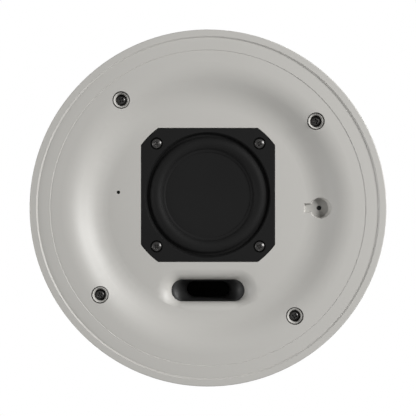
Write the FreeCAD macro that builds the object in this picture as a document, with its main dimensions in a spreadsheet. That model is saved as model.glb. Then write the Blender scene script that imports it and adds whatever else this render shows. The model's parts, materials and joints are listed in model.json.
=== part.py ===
import FreeCAD, Part
import math
import os
import Sketcher
from FreeCAD import Placement, Rotation, Vector

# In-ceiling speaker with its grille off, in millimetres.
# +Z points up into the ceiling void and z = 0 is the face of the ceiling; the room is below.
# The origin is on the axis of the round rim. Seen from the room, +X is right and +Y is down.

SIZES = {
    # Rim, steps and dish of the front baffle
    "rim_radius": 90.0,
    "rim_drop": 5.0,
    "rim_round": 0.5,
    "outer_step_radius": 86.3,
    "outer_step_drop": 0.8,
    "outer_step_run": 0.75,
    "inner_step_radius": 79.7,
    "inner_step_drop": 0.3,
    "inner_step_run": 0.25,
    "dish_radius": 74.2,
    "dish_floor_radius": 50.4,
    "dish_angle": 32.0,
    "dish_shoulder_bend": 18.3,
    "dish_foot_bend": 20.95,
    "baffle_wall": 3.0,
    # Spigot that enters the ceiling hole, and the foam ring under the rim
    "spigot_radius": 79.0,
    "spigot_wall": 2.5,
    "spigot_height": 8.0,
    "spigot_relief": 0.7,
    "ceiling_gasket_thickness": 1.0,
    "ceiling_gasket_width": 7.5,
    "ceiling_gasket_clearance": 2.5,
    # Rear can: a square with its corners cut by a circle, turned to the clamps
    "can_flat": 60.0,
    "can_corner_radius": 68.0,
    "can_wall": 2.5,
    "can_draft": 3.0,
    "can_height": 85.0,
    "can_end_bevel": 2.0,
    "can_seat_height": 10.0,
    "can_gasket_thickness": 1.0,
    "can_panel_width": 40.0,
    "can_panel_relief": 1.0,
    "can_panel_margin": 8.0,
    "lug_distance": 72.5,
    "lug_radius": 4.2,
    "lug_thickness": 3.0,
    "can_boss_radius": 4.6,
    # Small self-tapping screws
    "screw_radius": 1.5,
    "screw_clearance": 0.05,
    "screw_play": 0.3,
    "screw_head_radius": 2.75,
    "screw_head_height": 1.9,
    "screw_dome": 0.8,
    "screw_recess_length": 2.6,
    "screw_recess_width": 0.6,
    "screw_recess_depth": 1.1,
    "can_screw_length": 9.0,
    "driver_screw_length": 9.0,
    "driver_head_radius": 2.55,
    "driver_counterbore_radius": 3.15,
    "driver_counterbore_depth": 1.7,
    "board_screw_length": 7.0,
    # Driver frame and its pocket in the baffle
    "driver_offset": 6.65,
    "flange_half": 33.8,
    "flange_corner_radius": 42.2,
    "flange_thickness": 3.0,
    "flange_gap": 0.35,
    "flange_screw_offset": 26.2,
    "driver_gasket_thickness": 0.5,
    "driver_seat_wall": 2.2,
    "driver_ledge": 3.0,
    "driver_boss_radius": 3.2,
    "driver_boss_height": 5.5,
    "frame_opening": 31.7,
    "frame_opening_foot": 30.9,
    "frame_opening_chamfer": 0.4,
    "frame_throat": 28.6,
    "frame_neck_radius": 31.2,
    "frame_neck_clearance": 0.3,
    "surround_ledge_depth": 2.4,
    "surround_ledge_thickness": 1.4,
    "basket_wall": 1.7,
    "basket_foot_radius": 24.6,
    "basket_foot_depth": 13.4,
    "basket_window_angle": 56.0,
    "spider_ledge_width": 2.6,
    "basket_depth": 17.5,
    "basket_floor": 1.5,
    "basket_bore": 11.6,
    # Surround, diaphragm, coil and motor
    "roll_centre": 26.4,
    "roll_half_width": 3.2,
    "roll_height": 2.4,
    "rubber": 0.5,
    "surround_foot_radius": 21.7,
    "surround_foot_thickness": 0.35,
    "diaphragm_thickness": 0.6,
    "diaphragm_dish": 0.5,
    "former_radius": 9.7,
    "former_wall": 0.3,
    "former_end_depth": 23.5,
    "coil_wire": 0.5,
    "coil_start_depth": 16.5,
    "coil_length": 6.5,
    "spider_cloth": 0.4,
    "spider_clearance": 0.3,
    "spider_wave": 0.9,
    "plate_radius": 22.0,
    "plate_bore": 10.9,
    "plate_thickness": 4.0,
    "magnet_radius": 24.0,
    "magnet_bore": 12.5,
    "magnet_thickness": 9.0,
    "yoke_radius": 22.5,
    "yoke_thickness": 4.0,
    "pole_radius": 9.3,
    "pole_vent": 3.0,
    "terminal_width": 12.0,
    "terminal_height": 5.0,
    "terminal_strip": 1.2,
    "terminal_lug_width": 2.8,
    "terminal_lug_length": 6.0,
    "terminal_lug_sheet": 0.8,
    "terminal_lug_spacing": 3.2,
    # Port slot, its flare and the duct behind it
    "port_offset": 42.2,
    "slot_length": 37.5,
    "slot_height": 11.3,
    "flare_width": 8.6,
    "flare_rise": 6.2,
    "flare_shift": 0.8,
    "flare_depth": 6.0,
    "flare_brim": 0.15,
    "port_boss_margin": 7.5,
    "port_lip_thickness": 0.9,
    "duct_wall": 1.6,
    "duct_flange_margin": 4.0,
    "duct_flange_thickness": 2.0,
    "duct_throat_length": 25.0,
    "duct_throat_height": 8.6,
    "duct_throat_depth": 13.0,
    "duct_straight": 22.0,
    "duct_depth": 48.0,
    "duct_end_length": 33.0,
    "duct_end_height": 16.0,
    "duct_bell_level": 5.2,
    "duct_bell_length": 30.0,
    "duct_bell_height": 9.9,
    "duct_spread_level": 38.0,
    "duct_spread_length": 27.0,
    "duct_spread_height": 10.1,
    # Clamps: screw pocket, guide tower, dog, threaded insert
    "clamp_angle": 51.2,
    "clamp_distance": 70.0,
    "clamp_pocket_radius": 4.4,
    "clamp_pocket_seat": 8.0,
    "tower_foot": 10.5,
    "tower_radius": 8.3,
    "tower_wall": 2.0,
    "tower_height": 54.0,
    "tower_bridge": 3.0,
    "tower_slot_start": 40.0,
    "tower_slot_end": 130.0,
    "clamp_screw_radius": 2.0,
    "clamp_screw_play": 0.15,
    "clamp_screw_length": 45.0,
    "screw_point_share": 0.5,
    "clamp_head_radius": 2.7,
    "clamp_head_height": 2.4,
    "clamp_head_dome": 1.0,
    "clamp_recess_length": 3.0,
    "clamp_recess_width": 0.75,
    "clamp_recess_depth": 1.5,
    "clip_radius": 3.6,
    "clip_thickness": 0.7,
    "clip_gap": 0.3,
    "hub_clearance": 0.3,
    "hub_height": 10.0,
    "hub_start": 39.8,
    "arm_reach": 27.5,
    "arm_half_width": 3.5,
    "arm_level": 1.5,
    "arm_thickness": 5.0,
    "foot_start": 10.0,
    "foot_drop": 2.0,
    "gusset_width": 2.0,
    "gusset_reach": 21.0,
    "insert_radius": 3.4,
    "insert_bore_play": 0.05,
    "insert_fit": 0.05,
    "insert_collar_radius": 4.6,
    "insert_collar": 0.8,
    "insert_collar_gap": 0.1,
    # Microphone and service recess
    "mic_offset": 45.6,
    "mic_rise": 8.0,
    "mic_hole_radius": 0.9,
    "mic_boot_radius": 3.0,
    "mic_boot_height": 1.6,
    "mic_board_length": 9.0,
    "mic_board_width": 7.0,
    "mic_chip_length": 3.8,
    "mic_chip_width": 3.0,
    "mic_chip_height": 1.1,
    "recess_offset": 56.6,
    "recess_radius": 5.1,
    "recess_depth": 2.2,
    "recess_draft": 14.0,
    "pinhole_radius": 1.2,
    "notch_start": 48.8,
    "notch_end": 52.8,
    "notch_half": 2.4,
    "service_boss_radius": 6.9,
    "service_boss_rise": 1.46,
    "post_offset": 6.0,
    "post_radius": 1.9,
    "control_board_length": 11.0,
    "control_board_width": 16.0,
    "switch_side": 4.6,
    "switch_height": 2.6,
    "switch_well_depth": 1.6,
    "switch_gap": 0.3,
    "plunger_radius": 0.95,
    "plunger_reach": 2.0,
    "plunger_travel": 0.4,
    "control_screw_radius": 0.8,
    "control_screw_head": 1.5,
    "control_screw_head_height": 0.9,
    "control_screw_length": 3.5,
    # Electronics under the rear wall of the can
    "board_length": 80.0,
    "board_width": 66.0,
    "board_thickness": 1.6,
    "board_drop": 13.5,
    "board_hole_x": 35.5,
    "board_hole_y": 28.5,
    "board_post_radius": 3.0,
    "jack_x": 22.0,
    "jack_y": 14.0,
    "jack_length": 16.4,
    "jack_width": 14.2,
    "jack_proud": 0.5,
    "jack_clearance": 0.3,
    "jack_port_length": 11.9,
    "jack_port_width": 7.0,
    "jack_key_length": 6.2,
    "jack_key_width": 2.0,
    "jack_port_depth": 13.0,
    "capacitor_radius": 5.0,
    "capacitor_height": 12.0,
    "capacitor_pitch": 13.0,
    "capacitor_x": -28.0,
    "capacitor_y": 18.0,
    "inductor_side": 12.0,
    "inductor_height": 7.0,
    "inductor_pitch": 16.0,
    "inductor_x": 24.0,
    "inductor_y": -22.0,
    "sink_x": -10.0,
    "sink_y": -12.0,
    "sink_length": 34.0,
    "sink_width": 24.0,
    "sink_base": 3.0,
    "sink_height": 10.0,
    "sink_fin": 1.6,
    "sink_fin_pitch": 4.8,
}

doc = FreeCAD.newDocument("in_ceiling_speaker")
sheet = doc.addObject("Spreadsheet::Sheet", "Sizes")


class Size:
    """A length or an angle in degrees: its value, and the expression that gives it."""

    def __init__(self, value, text):
        self.value = value
        self.text = text

    def __add__(self, other):
        other = as_size(other)
        return Size(self.value + other.value, "(%s + %s)" % (self.text, other.text))

    def __sub__(self, other):
        other = as_size(other)
        return Size(self.value - other.value, "(%s - %s)" % (self.text, other.text))

    def __mul__(self, other):
        other = as_size(other)
        return Size(self.value * other.value, "(%s * %s)" % (self.text, other.text))

    def __truediv__(self, other):
        other = as_size(other)
        return Size(self.value / other.value, "(%s / %s)" % (self.text, other.text))

    def __neg__(self):
        return Size(-self.value, "(0 - %s)" % self.text)

    def __radd__(self, other):
        return as_size(other) + self

    def __rsub__(self, other):
        return as_size(other) - self

    def __rmul__(self, other):
        return as_size(other) * self


def as_size(number):
    if isinstance(number, Size):
        return number
    return Size(float(number), "(%.6f)" % number)


def sine(angle):
    return Size(math.sin(math.radians(angle.value)), "sin(%s)" % angle.text)


def cosine(angle):
    return Size(math.cos(math.radians(angle.value)), "cos(%s)" % angle.text)


def tangent(angle):
    return Size(math.tan(math.radians(angle.value)), "tan(%s)" % angle.text)


def root(number):
    return Size(math.sqrt(number.value), "sqrt(%s)" % number.text)


class Named:
    """The sizes in the sheet, by name."""


S = Named()
sheet_rows = []


def keep(name, content, value):
    """Writes one named row of the sheet, and returns the size that refers to it."""
    sheet_rows.append(name)
    row = len(sheet_rows)
    sheet.set("A%d" % row, name)
    sheet.set("B%d" % row, content)
    sheet.setAlias("B%d" % row, name)
    size = Size(value, "Sizes." + name)
    setattr(S, name, size)
    return size


def worked_out(name, size):
    return keep(name, "=" + size.text.replace("Sizes.", ""), size.value)


for size_name, size_value in SIZES.items():
    keep(size_name, str(size_value), size_value)

# Levels of the baffle, from the room side up
rim_front = worked_out("rim_front", -S.rim_drop)
ring_front = worked_out("ring_front", rim_front + S.outer_step_drop)
annulus_front = worked_out("annulus_front", ring_front + S.inner_step_drop)
annulus_back = worked_out("annulus_back", annulus_front + S.baffle_wall)
dish_bends = S.dish_shoulder_bend + S.dish_foot_bend
slope_run = worked_out(
    "slope_run", S.dish_radius - S.dish_floor_radius - dish_bends * sine(S.dish_angle))
dish_depth = worked_out(
    "dish_depth", dish_bends * (1 - cosine(S.dish_angle)) + slope_run * tangent(S.dish_angle))
floor_front = worked_out("floor_front", annulus_front + dish_depth)
floor_back = worked_out("floor_back", floor_front + S.baffle_wall)

# Levels and places that several pieces share
flange_back = worked_out("flange_back", floor_front + S.flange_thickness)
driver_ledge_front = worked_out("driver_ledge_front", flange_back + S.driver_gasket_thickness)
driver_ledge_back = worked_out("driver_ledge_back", driver_ledge_front + S.driver_ledge)
flare_back = worked_out("flare_back", floor_front + S.flare_depth)
port_boss_back = worked_out("port_boss_back", flare_back + S.port_lip_thickness)
can_mouth = worked_out("can_mouth", S.can_seat_height + S.can_gasket_thickness)
can_end = worked_out("can_end", can_mouth + S.can_height)
can_end_inside = worked_out("can_end_inside", can_end - S.can_wall)
board_back = worked_out("board_back", can_end_inside - S.board_drop)
board_front = worked_out("board_front", board_back - S.board_thickness)
lug_angle = worked_out("lug_angle", S.clamp_angle + 45)
tower_bore = worked_out("tower_bore", S.tower_radius - S.tower_wall)
hub_radius = worked_out("hub_radius", tower_bore - S.hub_clearance)
pilot_radius = worked_out("pilot_radius", S.screw_radius + S.screw_clearance)
screw_hole_radius = worked_out("screw_hole_radius", S.screw_radius + S.screw_play)
roll_outer = worked_out("roll_outer", S.roll_centre + S.roll_half_width)
roll_inner = worked_out("roll_inner", S.roll_centre - S.roll_half_width)
surround_front = worked_out("surround_front", S.surround_ledge_depth - S.rubber)
former_outer = worked_out("former_outer", S.former_radius + S.former_wall)
plate_back = worked_out("plate_back", S.basket_depth + S.plate_thickness)
magnet_back = worked_out("magnet_back", plate_back + S.magnet_thickness)
service_boss_back = worked_out("service_boss_back", floor_back + S.service_boss_rise)
switch_front = worked_out("switch_front", service_boss_back + S.switch_gap)
control_board_front = worked_out("control_board_front", switch_front + S.switch_height)
control_screw_tip = worked_out(
    "control_screw_tip", control_board_front + S.board_thickness - S.control_screw_length)
mic_board_front = worked_out("mic_board_front", floor_back + S.mic_boot_height)

sub_parts = []


# Bodies, sketches and features

def bind(item, path, size):
    size = as_size(size)
    if "Sizes." in size.text:
        item.setExpression(path, size.text)


def bound_place(item, path, x, y, z, turn):
    """Sets a placement from sizes: a shift, and a turn about Z."""
    x, y, z, turn = as_size(x), as_size(y), as_size(z), as_size(turn)
    shift = Vector(x.value, y.value, z.value)
    setattr(item, path, Placement(shift, Rotation(Vector(0, 0, 1), turn.value)))
    item.setExpression(path, "placement(vector(%s; %s; %s); rotation(vector(0; 0; 1); %s))"
                       % (x.text, y.text, z.text, turn.text))


def new_body(label, x=0, y=0, z=0, turn=0):
    body = doc.addObject("PartDesign::Body", label)
    body.Label = label
    bound_place(body, "Placement", x, y, z, turn)
    sub_parts.append(body)
    return body


def datum(body, role):
    return next(item for item in body.Origin.OriginFeatures if item.Role == role)


def sketch_on(body, name, role="XY_Plane", x=0, y=0, z=0, turn=0):
    sketch = body.newObject("Sketcher::SketchObject", name)
    sketch.AttachmentSupport = [(datum(body, role), "")]
    sketch.MapMode = "FlatFace"
    bound_place(sketch, "AttachmentOffset", x, y, z, turn)
    return sketch


def hold(sketch, constraint, size):
    """Adds a dimension and ties it to its size."""
    index = sketch.addConstraint(constraint)
    bind(sketch, "Constraints[%d]" % index, size)


def pin(sketch, curve, end, x, y):
    """Holds one point of a curve at x and y."""
    for kind, size, axis in (("DistanceX", as_size(x), -2), ("DistanceY", as_size(y), -1)):
        if size.value == 0 and "Sizes." not in size.text:
            sketch.addConstraint(Sketcher.Constraint("PointOnObject", curve, end, axis))
        else:
            hold(sketch, Sketcher.Constraint(kind, -1, 1, curve, end, size.value), size)


def arc_between(start, finish, radius, way):
    """An arc of under half a turn from start to finish, counter-clockwise where way is 1."""
    chord = finish - start
    rise = math.sqrt(radius ** 2 - chord.Length ** 2 / 4)
    left = Vector(-chord.y, chord.x, 0).normalize()
    centre = start + chord * 0.5 + left * (rise * way)
    first, last = (start, finish) if way > 0 else (finish, start)
    angles = [math.atan2(point.y - centre.y, point.x - centre.x) for point in (first, last)]
    return Part.ArcOfCircle(Part.Circle(centre, Vector(0, 0, 1), radius), angles[0], angles[1])


def outline(sketch, corners):
    """Closed outline through corners (x, y), or (x, y, radius, way) where an arc leads on from one."""
    runs = []
    for corner, following in zip(corners, corners[1:] + corners[:1]):
        start = Vector(as_size(corner[0]).value, as_size(corner[1]).value, 0)
        finish = Vector(as_size(following[0]).value, as_size(following[1]).value, 0)
        if len(corner) == 2:
            curve = sketch.addGeometry(Part.LineSegment(start, finish), False)
            runs.append((curve, 1, 2))
        else:
            radius, way = as_size(corner[2]), corner[3]
            curve = sketch.addGeometry(arc_between(start, finish, radius.value, way), False)
            runs.append((curve, 1, 2) if way > 0 else (curve, 2, 1))
    for run, following in zip(runs, runs[1:] + runs[:1]):
        sketch.addConstraint(Sketcher.Constraint("Coincident", run[0], run[2], following[0], following[1]))
    for run, corner in zip(runs, corners):
        pin(sketch, run[0], run[1], corner[0], corner[1])
        if len(corner) > 2:
            radius = as_size(corner[2])
            hold(sketch, Sketcher.Constraint("Radius", run[0], radius.value), radius)


def rectangle(sketch, left, right, low, high):
    outline(sketch, [(left, low), (right, low), (right, high), (left, high)])


def circle(sketch, x, y, radius):
    centre = Vector(as_size(x).value, as_size(y).value, 0)
    radius = as_size(radius)
    curve = sketch.addGeometry(Part.Circle(centre, Vector(0, 0, 1), radius.value), False)
    pin(sketch, curve, 3, x, y)
    hold(sketch, Sketcher.Constraint("Radius", curve, radius.value), radius)


def circles_at(sketch, places, radius):
    for x, y in places:
        circle(sketch, x, y, radius)


def on_axes(distance):
    return [(distance, 0), (0, distance), (-distance, 0), (0, -distance)]


def at_corners(x, y):
    return [(x, y), (-x, y), (-x, -y), (x, -y)]


def cut_square(sketch, flat, corner_radius):
    """A square whose corners are cut by a circle, centred on the sketch."""
    half = root(corner_radius * corner_radius - flat * flat)
    outline(sketch, [
        (flat, -half), (flat, half, corner_radius, 1),
        (half, flat), (-half, flat, corner_radius, 1),
        (-flat, half), (-flat, -half, corner_radius, 1),
        (-half, -flat), (half, -flat, corner_radius, 1)])


def stadium(sketch, x, length, height):
    """A slot with round ends along the sketch's X axis, its middle at x."""
    radius = height / 2
    reach = length / 2 - radius
    ends = []
    for side in (1, -1):
        centre = Vector((as_size(x) + reach * side).value, 0, 0)
        start = -math.pi / 2 if side > 0 else math.pi / 2
        arc = Part.ArcOfCircle(Part.Circle(centre, Vector(0, 0, 1), radius.value), start, start + math.pi)
        curve = sketch.addGeometry(arc, False)
        pin(sketch, curve, 3, as_size(x) + reach * side, 0)
        hold(sketch, Sketcher.Constraint("Radius", curve, radius.value), radius)
        sketch.addConstraint(Sketcher.Constraint("Vertical", curve, 3, curve, 1))
        sketch.addConstraint(Sketcher.Constraint("Vertical", curve, 3, curve, 2))
        ends.append((curve, arc))
    for (curve, arc), (other, other_arc) in zip(ends, ends[::-1]):
        line = sketch.addGeometry(Part.LineSegment(arc.EndPoint, other_arc.StartPoint), False)
        sketch.addConstraint(Sketcher.Constraint("Coincident", curve, 2, line, 1))
        sketch.addConstraint(Sketcher.Constraint("Coincident", line, 2, other, 1))


def pad(body, name, sketch, length):
    """Raises a sketch along its normal."""
    feature = body.newObject("PartDesign::Pad", name)
    feature.Profile = sketch
    feature.Length = as_size(length).value
    bind(feature, "Length", length)
    return feature


def pocket(body, name, sketch, depth):
    """Cuts a sketch along its normal."""
    feature = body.newObject("PartDesign::Pocket", name)
    feature.Profile = sketch
    feature.Reversed = True
    feature.Length = as_size(depth).value
    bind(feature, "Length", depth)
    return feature


def turned(body, name, corners, kind="PartDesign::Revolution", x=0, angle=360):
    """Turns a profile of (radius, height) corners about an axis along Z at x."""
    sketch = sketch_on(body, name + "_profile", "XZ_Plane", x=x)
    outline(sketch, corners)
    feature = body.newObject(kind, name)
    feature.Profile = sketch
    feature.ReferenceAxis = (sketch, ["V_Axis"])
    feature.Angle = as_size(angle).value
    bind(feature, "Angle", angle)
    if as_size(angle).value != 360:
        feature.Midplane = True
    return feature


def loft(body, name, sections, kind="PartDesign::AdditiveLoft", straight=False):
    """A smooth loft through the sections, or straight from each to the next."""
    feature = body.newObject(kind, name)
    feature.Profile = sections[0]
    feature.Sections = sections[1:]
    feature.Ruled = straight
    return feature


def four_round(body, name, features):
    """Repeats features four times about the body's Z axis."""
    doc.recompute()
    pattern = body.newObject("PartDesign::PolarPattern", name)
    pattern.Originals = features
    pattern.Axis = (datum(body, "Z_Axis"), [""])
    pattern.Angle = 360
    pattern.Occurrences = 4
    body.Tip = pattern
    return pattern


def tube(label, outer, inner, start, length, **place):
    """A plain ring or tube from start along Z."""
    body = new_body(label, **place)
    turned(body, label + "_ring", [
        (inner, start), (outer, start), (outer, start + length), (inner, start + length)])
    return body


# The front baffle

def dish_line(outward):
    """The dish from its floor out to the annulus, moved outward through the wall."""
    foot_bend = S.dish_foot_bend + outward
    shoulder_bend = S.dish_shoulder_bend - outward
    floor = floor_front + outward
    annulus = annulus_front + outward
    turn = 1 - cosine(S.dish_angle)
    return [
        (S.dish_floor_radius, floor, foot_bend, -1),
        (S.dish_floor_radius + foot_bend * sine(S.dish_angle), floor - foot_bend * turn),
        (S.dish_radius - shoulder_bend * sine(S.dish_angle), annulus + shoulder_bend * turn, shoulder_bend, 1),
        (S.dish_radius, annulus)]


def baffle_blank(body):
    """Rim, spigot and the back of the dish, still filled on the room side."""
    back = dish_line(S.baffle_wall)
    inward = [
        back[3] + (S.dish_shoulder_bend - S.baffle_wall, -1),
        back[2][:2],
        back[1] + (S.dish_foot_bend + S.baffle_wall, 1),
        back[0][:2]]
    spigot_inner = S.spigot_radius - S.spigot_wall
    turned(body, "blank", [
        (0, rim_front),
        (S.rim_radius - S.rim_round, rim_front, S.rim_round, 1),
        (S.rim_radius, rim_front + S.rim_round),
        (S.rim_radius, -S.ceiling_gasket_thickness),
        (S.spigot_radius - S.spigot_relief, -S.ceiling_gasket_thickness),
        (S.spigot_radius - S.spigot_relief, 0),
        (S.spigot_radius, 0),
        (S.spigot_radius, S.spigot_height),
        (spigot_inner, S.spigot_height),
        (spigot_inner, annulus_back)] + inward + [(0, floor_back)])


def baffle_raised_parts(body):
    """Everything that stands on the back of the dish. It all starts inside the blank."""
    seat = sketch_on(body, "can_seat_outline", z=annulus_front, turn=S.clamp_angle)
    cut_square(seat, S.can_flat, S.can_corner_radius)
    cut_square(seat, S.can_flat - S.can_wall, S.can_corner_radius - S.can_wall)
    pad(body, "can_seat", seat, S.can_seat_height - annulus_front)

    bosses = sketch_on(body, "can_boss_outline", z=annulus_front, turn=lug_angle)
    circles_at(bosses, on_axes(S.lug_distance), S.can_boss_radius)
    pad(body, "can_bosses", bosses, S.can_seat_height - annulus_front)

    driver = sketch_on(body, "driver_seat_outline", y=-S.driver_offset, z=annulus_front)
    around = S.flange_gap + S.driver_seat_wall
    cut_square(driver, S.flange_half + around, S.flange_corner_radius + around)
    pad(body, "driver_seat", driver, driver_ledge_back - annulus_front)

    screws = sketch_on(body, "driver_boss_outline", y=-S.driver_offset, z=annulus_front)
    circles_at(screws, at_corners(S.flange_screw_offset, S.flange_screw_offset), S.driver_boss_radius)
    pad(body, "driver_bosses", screws, driver_ledge_back + S.driver_boss_height - annulus_front)

    port = sketch_on(body, "port_boss_outline", y=S.port_offset, z=annulus_front)
    margin = 2 * S.port_boss_margin
    stadium(port, 0, S.slot_length + margin, S.slot_height + margin)
    pad(body, "port_boss", port, port_boss_back - annulus_front)

    towers = sketch_on(body, "tower_outline", z=annulus_front, turn=S.clamp_angle)
    circles_at(towers, on_axes(S.clamp_distance), S.tower_radius)
    pad(body, "towers", towers, S.tower_height - annulus_front)

    service = sketch_on(body, "service_boss_outline", x=S.recess_offset, z=annulus_front)
    circle(service, 0, 0, S.service_boss_radius)
    pad(body, "service_boss", service, service_boss_back - annulus_front)

    posts = sketch_on(body, "service_post_outline", x=S.recess_offset, z=annulus_front)
    circles_at(posts, [(0, S.post_offset), (0, -S.post_offset)], S.post_radius)
    pad(body, "service_posts", posts, control_board_front - annulus_front)


def baffle_room_side(body):
    """Cuts the steps and the dish into the room side."""
    room = rim_front - S.rim_drop
    half_outer = S.outer_step_run / 2
    half_inner = S.inner_step_run / 2
    turned(body, "dish", [(0, floor_front)] + dish_line(0) + [
        (S.inner_step_radius - half_inner, annulus_front),
        (S.inner_step_radius + half_inner, ring_front),
        (S.outer_step_radius - half_outer, ring_front),
        (S.outer_step_radius + half_outer, rim_front),
        (S.outer_step_radius + half_outer, room),
        (0, room)], "PartDesign::Groove")


def baffle_driver_pocket(body):
    pocket_outline = sketch_on(body, "driver_pocket_outline", y=-S.driver_offset, z=annulus_front)
    cut_square(pocket_outline, S.flange_half + S.flange_gap, S.flange_corner_radius + S.flange_gap)
    pocket(body, "driver_pocket", pocket_outline, driver_ledge_front - annulus_front)

    opening = sketch_on(body, "driver_opening_outline", y=-S.driver_offset, z=annulus_front)
    circle(opening, 0, 0, S.frame_neck_radius + S.frame_neck_clearance)
    pocket(body, "driver_opening", opening, driver_ledge_back + S.driver_boss_height - annulus_front)

    pilots = sketch_on(body, "driver_pilot_outline", y=-S.driver_offset, z=driver_ledge_front)
    circles_at(pilots, at_corners(S.flange_screw_offset, S.flange_screw_offset), pilot_radius)
    tip = floor_front + S.driver_counterbore_depth + S.driver_screw_length
    pocket(body, "driver_pilots", pilots, tip + S.screw_play - driver_ledge_front)


def baffle_port(body):
    """The flare rounds over from the dish floor and steepens all the way into the slot."""
    sections = []
    parts = 6
    for number in range(parts + 1):
        turn = math.pi / 2 * number / parts
        share = 1 - math.sin(turn)
        depth = (S.flare_depth + S.flare_brim) * (1 - math.cos(turn)) - S.flare_brim
        section = sketch_on(body, "flare_section_%d" % number, y=S.port_offset - share * S.flare_shift,
                            z=floor_front + depth)
        stadium(section, 0, S.slot_length + share * 2 * S.flare_width,
                S.slot_height + share * 2 * S.flare_rise)
        sections.append(section)
    loft(body, "flare", sections, "PartDesign::SubtractiveLoft")
    slot = sketch_on(body, "slot_outline", y=S.port_offset, z=flare_back)
    stadium(slot, 0, S.slot_length, S.slot_height)
    pocket(body, "slot", slot, port_boss_back - flare_back)


def baffle_clamp_pockets(body):
    pockets = sketch_on(body, "clamp_pocket_outline", z=rim_front, turn=S.clamp_angle)
    circles_at(pockets, on_axes(S.clamp_distance), S.clamp_pocket_radius)
    pocket(body, "clamp_pockets", pockets, S.clamp_pocket_seat - rim_front)

    bores = sketch_on(body, "clamp_bore_outline", z=rim_front, turn=S.clamp_angle)
    circles_at(bores, on_axes(S.clamp_distance), S.clamp_screw_radius + S.clamp_screw_play)
    pocket(body, "clamp_bores", bores, S.tower_height - rim_front)

    guide = sketch_on(
        body, "guide_outline", x=S.clamp_distance * cosine(S.clamp_angle),
        y=S.clamp_distance * sine(S.clamp_angle), z=S.tower_foot, turn=S.clamp_angle)
    start, end = S.tower_slot_start, S.tower_slot_end
    middle = (start - end) / 2 + 180
    clear = 1.5 * S.tower_radius
    outline(guide, [
        (tower_bore * cosine(start), tower_bore * sine(start), tower_bore, 1),
        (tower_bore * cosine(middle), tower_bore * sine(middle), tower_bore, 1),
        (tower_bore * cosine(end), -(tower_bore * sine(end))),
        (clear * cosine(end), -(clear * sine(end))),
        (clear * cosine(end), -clear),
        (clear, -clear),
        (clear, clear * sine(start)),
        (clear * cosine(start), clear * sine(start))])
    cavity = pocket(body, "guide", guide, S.tower_height - S.tower_bridge - S.tower_foot)
    four_round(body, "guides", [cavity])

    pilots = sketch_on(body, "can_pilot_outline", z=annulus_back, turn=lug_angle)
    circles_at(pilots, on_axes(S.lug_distance), pilot_radius)
    pocket(body, "can_pilots", pilots, S.can_seat_height - annulus_back)


def baffle_small_openings(body):
    mic = sketch_on(body, "mic_hole_outline", x=-S.mic_offset, y=-S.mic_rise, z=annulus_front)
    circle(mic, 0, 0, S.mic_hole_radius)
    pocket(body, "mic_hole", mic, floor_back - annulus_front)

    lean = tangent(S.recess_draft)
    floor = floor_front + S.recess_depth
    turned(body, "service_recess", [
        (0, annulus_front), (S.recess_radius + dish_depth * lean, annulus_front),
        (S.recess_radius - S.recess_depth * lean, floor), (S.pinhole_radius, floor),
        (S.pinhole_radius, service_boss_back), (0, service_boss_back)],
        "PartDesign::Groove", x=S.recess_offset)

    outlines = []
    for word, level, spread in (("room", annulus_front, dish_depth * lean),
                                ("floor", floor, S.recess_depth * lean * -1)):
        notch = sketch_on(body, "notch_outline_" + word, z=level)
        half = S.notch_half + spread
        rectangle(notch, S.notch_start - spread, S.notch_end, -half, half)
        outlines.append(notch)
    loft(body, "notch", outlines, "PartDesign::SubtractiveLoft", straight=True)

    pilot_start = control_screw_tip - S.screw_play
    pilots = sketch_on(body, "post_pilot_outline", x=S.recess_offset, z=pilot_start)
    circles_at(pilots, [(0, S.post_offset), (0, -S.post_offset)], S.control_screw_radius + S.screw_clearance)
    pocket(body, "post_pilots", pilots, control_board_front - pilot_start)


def front_baffle():
    body = new_body("front_baffle")
    baffle_blank(body)
    baffle_raised_parts(body)
    baffle_room_side(body)
    baffle_driver_pocket(body)
    baffle_port(body)
    baffle_clamp_pockets(body)
    baffle_small_openings(body)


# The rear can and the seals

def can_section(body, name, level, flat, corner_radius):
    section = sketch_on(body, name, z=level)
    cut_square(section, flat, corner_radius)
    return section


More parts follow.
